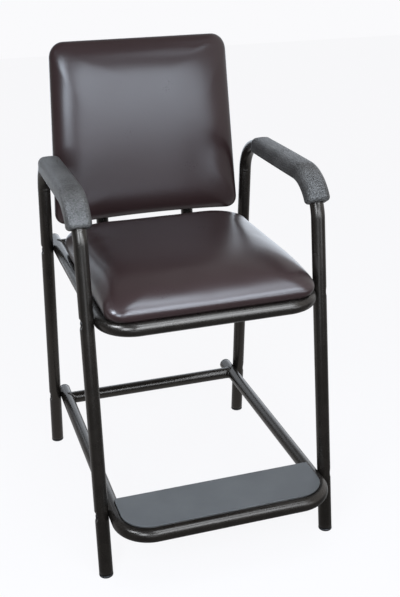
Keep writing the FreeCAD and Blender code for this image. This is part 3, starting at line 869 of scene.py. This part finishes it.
def fill(piece, held, calm):
    """Blows a cushion up as cloth with its underside held, then keeps of each point's move a smooth
    share that never passes the cap, evened out with its neighbours' as often as calm says."""
    mesh = piece.data
    rest = points_of(mesh)
    group = piece.vertex_groups.new(name="held")
    group.add(held.tolist(), 1.0, "REPLACE")
    cloth = piece.modifiers.new("filling", "CLOTH")
    sheet = cloth.settings
    sheet.vertex_group_mass = "held"
    sheet.quality = 5
    sheet.mass = 0.35
    sheet.tension_stiffness = 25
    sheet.compression_stiffness = 25
    sheet.shear_stiffness = 12
    sheet.bending_stiffness = 25.0
    sheet.use_pressure = True
    sheet.uniform_pressure_force = fill_pressure
    sheet.effector_weights.gravity = 0
    cloth.collision_settings.use_collision = False
    cloth.point_cache.frame_start = 1
    cloth.point_cache.frame_end = fill_frames
    scene = bpy.context.scene
    for step in range(1, fill_frames + 1):
        scene.frame_set(step)
    blown = points_of(piece.evaluated_get(bpy.context.evaluated_depsgraph_get()).data)
    piece.modifiers.remove(cloth)
    scene.frame_set(1)
    move = blown - rest
    size = np.linalg.norm(move, axis=1, keepdims=True)
    move = move * fill_cap / (fill_cap + size)
    ends = np.empty(len(mesh.edges) * 2, int)
    mesh.edges.foreach_get("vertices", ends)
    one, two = ends.reshape(-1, 2).T
    near = np.bincount(ends, minlength=len(rest))[:, None]
    for _ in range(calm):
        total = np.zeros_like(move)
        np.add.at(total, one, move[two])
        np.add.at(total, two, move[one])
        move = 0.5 * move + 0.5 * total / near
        move[held] = 0
    mesh.vertices.foreach_set("co", (rest + move).ravel())
    mesh.update()
    piece.vertex_groups.clear()


vinyl, sockets, place = new_finish("brown_upholstery_vinyl", {"IOR": 1.5})
cells = place.cells(230.0)
pores = place.noise(420.0, 2.0)
drift = place.noise(7.0, 3.0)
place.join(drift.mix((0.0262, 0.0142, 0.0140, 1), (0.0328, 0.0182, 0.0179, 1)), sockets["Base Color"])
place.join(0.24 + 0.06 * drift + 0.04 * pores, sockets["Roughness"])
place.join(bump_of(cells * -0.8 + 0.6 * pores, 0.18, 0.0004), sockets["Normal"])


def make_cushion(name, top, bottom, calm, node):
    """A vinyl cushion from its two sheets: filled with its rim and underside held, then smoothed."""
    cushion = make_piece(name, [two_sheets(top, bottom)], vinyl, "vinyl", node)
    ring = plan_grid(cushion_count)[0].ravel()
    rim = np.nonzero(ring >= cushion_count - 1)[0]
    under = np.arange(ring.size, len(cushion.data.vertices))
    fill(cushion, np.concatenate([rim, under]), calm)
    smooth = cushion.modifiers.new("smooth_skin", "SUBSURF")
    smooth.levels = smooth.render_levels = 1


seat_half_x = (seat_high.x - seat_low.x) / 2
seat_half_y = (seat_high.y - seat_low.y) / 2 + seat_spare
seat_line = pillow_line(seat_half_x, seat_roll, seat_roll_width, seat_crown,
                        seat_waist, seat_tuck, seat_sink)
top, bottom = cushion_sheets(seat_half_x, seat_half_y, seat_front_r, seat_back_r, seat_line)
top[..., 2] *= 1 - seat_fall * np.clip(1 - (top[..., 1] + seat_half_y) / seat_fall_run, 0, 1) ** 3
seat_middle = np.array([0.0, (seat_low.y + seat_high.y) / 2, seat_low.z])
make_cushion("seat_vinyl_cushion", top + seat_middle, bottom + seat_middle, seat_calm, "seat_cushion")


# Back cushion. Foam on the back board under the same vinyl, a little wider at its foot than at its
# head, with a lower edge that arches up between the corners. It is bolted to the uprights.
back_foot = 0.061
back_head = 0.528
back_tall = (back_head - back_foot) / 2
back_half = 0.250
back_taper = 0.019
back_arch = 0.007
back_low_r = 0.028
back_high_r = 0.038
back_roll = 0.033
back_roll_width = 0.100
back_crown = 0.003
back_waist = 0.021
back_tuck = 0.007
back_sink = 0.0
back_spare = 0.002
back_calm = 40
cover_thick = 0.0015
back_rear = tube_r + cover_thick


def on_back(x, up, ahead):
    """Points of the leaning back from their place across, up and ahead of the uprights."""
    return upright_base + x[..., None] * rightward + up[..., None] * back_up + ahead[..., None] * back_ahead


def back_shape(sheet):
    """Gives a sheet of the back its taper and its arched lower edge: the width shrinks evenly from foot
    to head, and low points rise by the arch times 1 - (x over half width) squared."""
    share = (sheet[..., 1] + back_tall) / (2 * back_tall)
    x = sheet[..., 0] * (1 - back_taper / back_half * share)
    arch = np.clip(1 - (x / (back_half - back_low_r)) ** 2, 0, 1)
    lift = back_arch * arch * np.clip(1 - 3 * share, 0, 1) ** 2
    up = (back_foot + back_head) / 2 + sheet[..., 1] + lift
    return on_back(x, up, back_rear + sheet[..., 2])


back_line = pillow_line(back_tall - back_spare, back_roll, back_roll_width, back_crown,
                        back_waist, back_tuck, back_sink)
top, bottom = cushion_sheets(back_half - back_spare, back_tall - back_spare,
                             back_low_r, back_high_r, back_line)
make_cushion("back_vinyl_cushion", back_shape(top), back_shape(bottom), back_calm, "back_cushion")


# Rear cover of the back. A second sheet of the vinyl, cut to the board's outline and stapled on. It
# hides the board and the edge of the front sheet from behind.
cover_inset = 0.012
cover_count = 30


def cover_skin():
    """A thin sheet with the board's outline and a rounded edge."""
    grid = plan_grid(cover_count)
    inward = cover_count - grid[0]
    half_x, half_y = back_half - cover_inset, back_tall - cover_inset
    draw = np.interp(inward, [0, 1, 2, cover_count], [0.0004, 0.0, 0.0006, half_y])
    level = np.interp(inward, [0, 1, 2, cover_count], [0.0006, 0.0010, 0.0014, cover_thick])
    far = far_draw(draw, half_y, half_x)
    x, y = round_plan(grid, half_x - far, half_y - draw, back_low_r, back_high_r)
    top = np.stack([x, y, -level], -1)
    bottom = np.stack([x, y, np.where(inward == 0, -level, 0.0)], -1)
    return two_sheets(back_shape(top), back_shape(bottom))


make_piece("back_vinyl_rear_cover", [cover_skin()], vinyl, "vinyl", "back_rear_cover")


# Floor and light. A pale studio floor in a white surround, which mirrored rays see dimmer. A panel in
# front, a softbox at the left and a fill overhead light the chair, and seven more panels and softboxes
# are only mirrored in its paint and vinyl.
floor_size = 16.0
pale = (0.956, 0.956, 0.973, 1)
floor_white = 1.115
white_share = 0.85
floor_mirrored_ahead, floor_mirrored_behind = 0.20, 0.60
surround_mirrored = 0.14
surround_light = 0.38


def ray_kinds(tree, *kinds):
    """Wires that are 1 for rays of a kind and 0 for the others."""
    outputs = tree.nodes.new("ShaderNodeLightPath").outputs
    return [Wire(tree, outputs["Is " + kind + " Ray"]) for kind in kinds]


def parts_of(tree, coordinates):
    """Wires of a coordinate's X, Y and Z."""
    split = tree.nodes.new("ShaderNodeSeparateXYZ")
    tree.links.new(tree.nodes.new("ShaderNodeTexCoord").outputs[coordinates], split.inputs[0])
    return [Wire(tree, socket) for socket in split.outputs]


paper = bpy.data.materials.new("pale_studio_floor")
paper.use_nodes = True
tree = paper.node_tree
tree.nodes.clear()
camera_ray, glossy_ray, clear_ray = ray_kinds(tree, "Camera", "Glossy", "Transmission")
lit = camera_ray.make("ShaderNodeBsdfDiffuse", {}, {"Color": (0.22, 0.22, 0.225, 1)})
shadowed = camera_ray.make("ShaderNodeBsdfDiffuse", {}, {"Color": (0.45, 0.45, 0.455, 1)})
white, dim, bright = [camera_ray.make("ShaderNodeEmission", {}, {"Color": pale, "Strength": strength})
                      for strength in (floor_white, floor_mirrored_ahead, floor_mirrored_behind)]
shown = camera_ray.make("ShaderNodeMixShader", {}, {0: white_share, 1: shadowed, 2: white})
blended = camera_ray.make("ShaderNodeMixShader", {}, {0: camera_ray + clear_ray, 1: lit, 2: shown})
behind = parts_of(tree, "Object")[1].ramp(-0.4, 0.0)
mirrored = camera_ray.make("ShaderNodeMixShader", {}, {0: behind, 1: dim, 2: bright})
surface = camera_ray.make("ShaderNodeMixShader", {}, {0: glossy_ray, 1: blended, 2: mirrored})
camera_ray.join(surface, tree.nodes.new("ShaderNodeOutputMaterial").inputs["Surface"])
corner = np.array([(-1, -1, 0), (1, -1, 0), (1, 1, 0), (-1, 1, 0)]) * floor_size / 2
mesh = bpy.data.meshes.new("studio_floor")
mesh.from_pydata(corner.tolist(), [], [(0, 1, 2, 3)])
mesh.materials.append(paper)
floor = bpy.data.objects.new("studio_floor", mesh)
bpy.context.scene.collection.objects.link(floor)
floor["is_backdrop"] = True

world = bpy.data.worlds.new("studio_surround")
bpy.context.scene.world = world
world.use_nodes = True
tree = world.node_tree
tree.nodes.clear()
camera_ray, glossy_ray = ray_kinds(tree, "Camera", "Glossy")
toward_x, toward_y = parts_of(tree, "Generated")[:2]
mirrored = surround_mirrored + 0.80 * toward_x.ramp(0.1, 0.8) + 0.20 * toward_y.ramp(0.0, 0.6)
unseen = glossy_ray * mirrored + (1 - glossy_ray) * surround_light
strength = camera_ray + (1 - camera_ray) * unseen
backdrop = camera_ray.make("ShaderNodeBackground", {}, {"Color": pale, "Strength": strength})
camera_ray.join(backdrop, tree.nodes.new("ShaderNodeOutputWorld").inputs["Surface"])
cool = (0.88, 0.99, 1.13)


def stand(holder, right, up, back, spot):
    """Puts a light or camera at a spot, by the ways of its own X, Y and Z."""
    turn = np.eye(4)
    turn[:3] = np.stack([right, up, back, spot], 1)
    holder.matrix_world = Matrix(turn.tolist())


def soft_light(name, spot, aim, wide, tall, radiance, spread=180.0, lights=True, shines=True):
    """A rectangular soft light facing its aim; its power is radiance times pi times its area. The camera
    doesn't see it. One that only lights isn't mirrored, and one that only shines is only mirrored."""
    lamp = bpy.data.lights.new(name, "AREA")
    lamp.shape = "RECTANGLE"
    lamp.size = wide
    lamp.size_y = tall
    lamp.energy = radiance * math.pi * wide * tall
    lamp.color = cool
    lamp.spread = math.radians(spread)
    holder = bpy.data.objects.new(name, lamp)
    bpy.context.scene.collection.objects.link(holder)
    spot, aim = np.array(spot), np.array(aim)
    back = unit(spot - aim)
    right = unit(np.cross((0.0, 0.001, 1.0), back))
    stand(holder, right, np.cross(back, right), back, spot)
    holder.visible_camera = False
    holder.visible_diffuse = lights
    holder.visible_glossy = shines


soft_light("front_low_panel", (0.22, -1.5, 1.10), (0.0, 0.27, 0.97), 1.12, 0.50, 7.4)
soft_light("left_softbox", (-0.95, -1.45, 1.30), (0.0, 0.1, 0.85), 0.55, 0.8, 15.0)
soft_light("front_upper_panel", (-0.05, -1.5, 1.44), (-0.27, -0.28, 0.82), 0.28, 0.18, 2.4, 40.0,
           lights=False)
soft_light("front_right_panel", (0.97, -1.5, 0.76), (0.05, 0.25, 0.85), 0.60, 0.60, 3.0, lights=False)
soft_light("front_floor_panel", (-0.35, -1.5, 0.45), (-0.2, 0.0, 0.55), 0.6, 0.4, 1.8, lights=False)
soft_light("right_high_softbox", (0.47, -1.25, 1.66), (0.03, -0.27, 0.72), 0.9, 0.7, 0.65, 36.0,
           lights=False)
soft_light("right_top_softbox", (0.40, -0.62, 1.90), (0.20, -0.22, 0.66), 0.9, 0.7, 0.55, 36.0,
           lights=False)
soft_light("rear_backdrop", (0.75, 2.50, 0.95), (0.75, 0.0, 0.95), 3.7, 1.9, 1.35, lights=False)
soft_light("left_top_softbox", (-1.23, -0.60, 1.70), (-0.23, -0.27, 0.64), 0.55, 0.55, 1.8, 40.0,
           lights=False)
soft_light("overhead_fill", (-0.2, -0.9, 3.0), (0.0, 0.0, 0.6), 1.6, 1.6, 3.2, shines=False)


# Camera. Stands before the chair's left corner, well above the back, and looks down at the seat. Its
# place, turns and lens frame the chair as the photograph does, with a small shift of the picture.
eye = np.array([-0.6150, -2.1365, 1.4380])
yaw, pitch, roll = -0.3048, 0.3268, 0.0176
focal = 987.03
middle_px = (202.21, 239.13)
image_px = (400.0, 597.0)
ahead = np.array([-math.sin(yaw) * math.cos(pitch), math.cos(yaw) * math.cos(pitch), -math.sin(pitch)])
right = unit(np.cross(ahead, (0.0, 0.0, 1.0)))
down = np.cross(ahead, right)
right, down = (math.cos(roll) * right + math.sin(roll) * down,
               math.cos(roll) * down - math.sin(roll) * right)
lens = bpy.data.cameras.new("camera")
lens.sensor_width = 36.0
lens.lens = focal / max(image_px) * lens.sensor_width
lens.shift_x = (image_px[0] / 2 - middle_px[0]) / max(image_px)
lens.shift_y = (middle_px[1] - image_px[1] / 2) / max(image_px)
camera = bpy.data.objects.new("camera", lens)
bpy.context.scene.collection.objects.link(camera)
stand(camera, right, -down, -ahead, eye)
bpy.context.scene.camera = camera
bpy.context.scene.view_settings.view_transform = "Standard"

low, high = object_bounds()
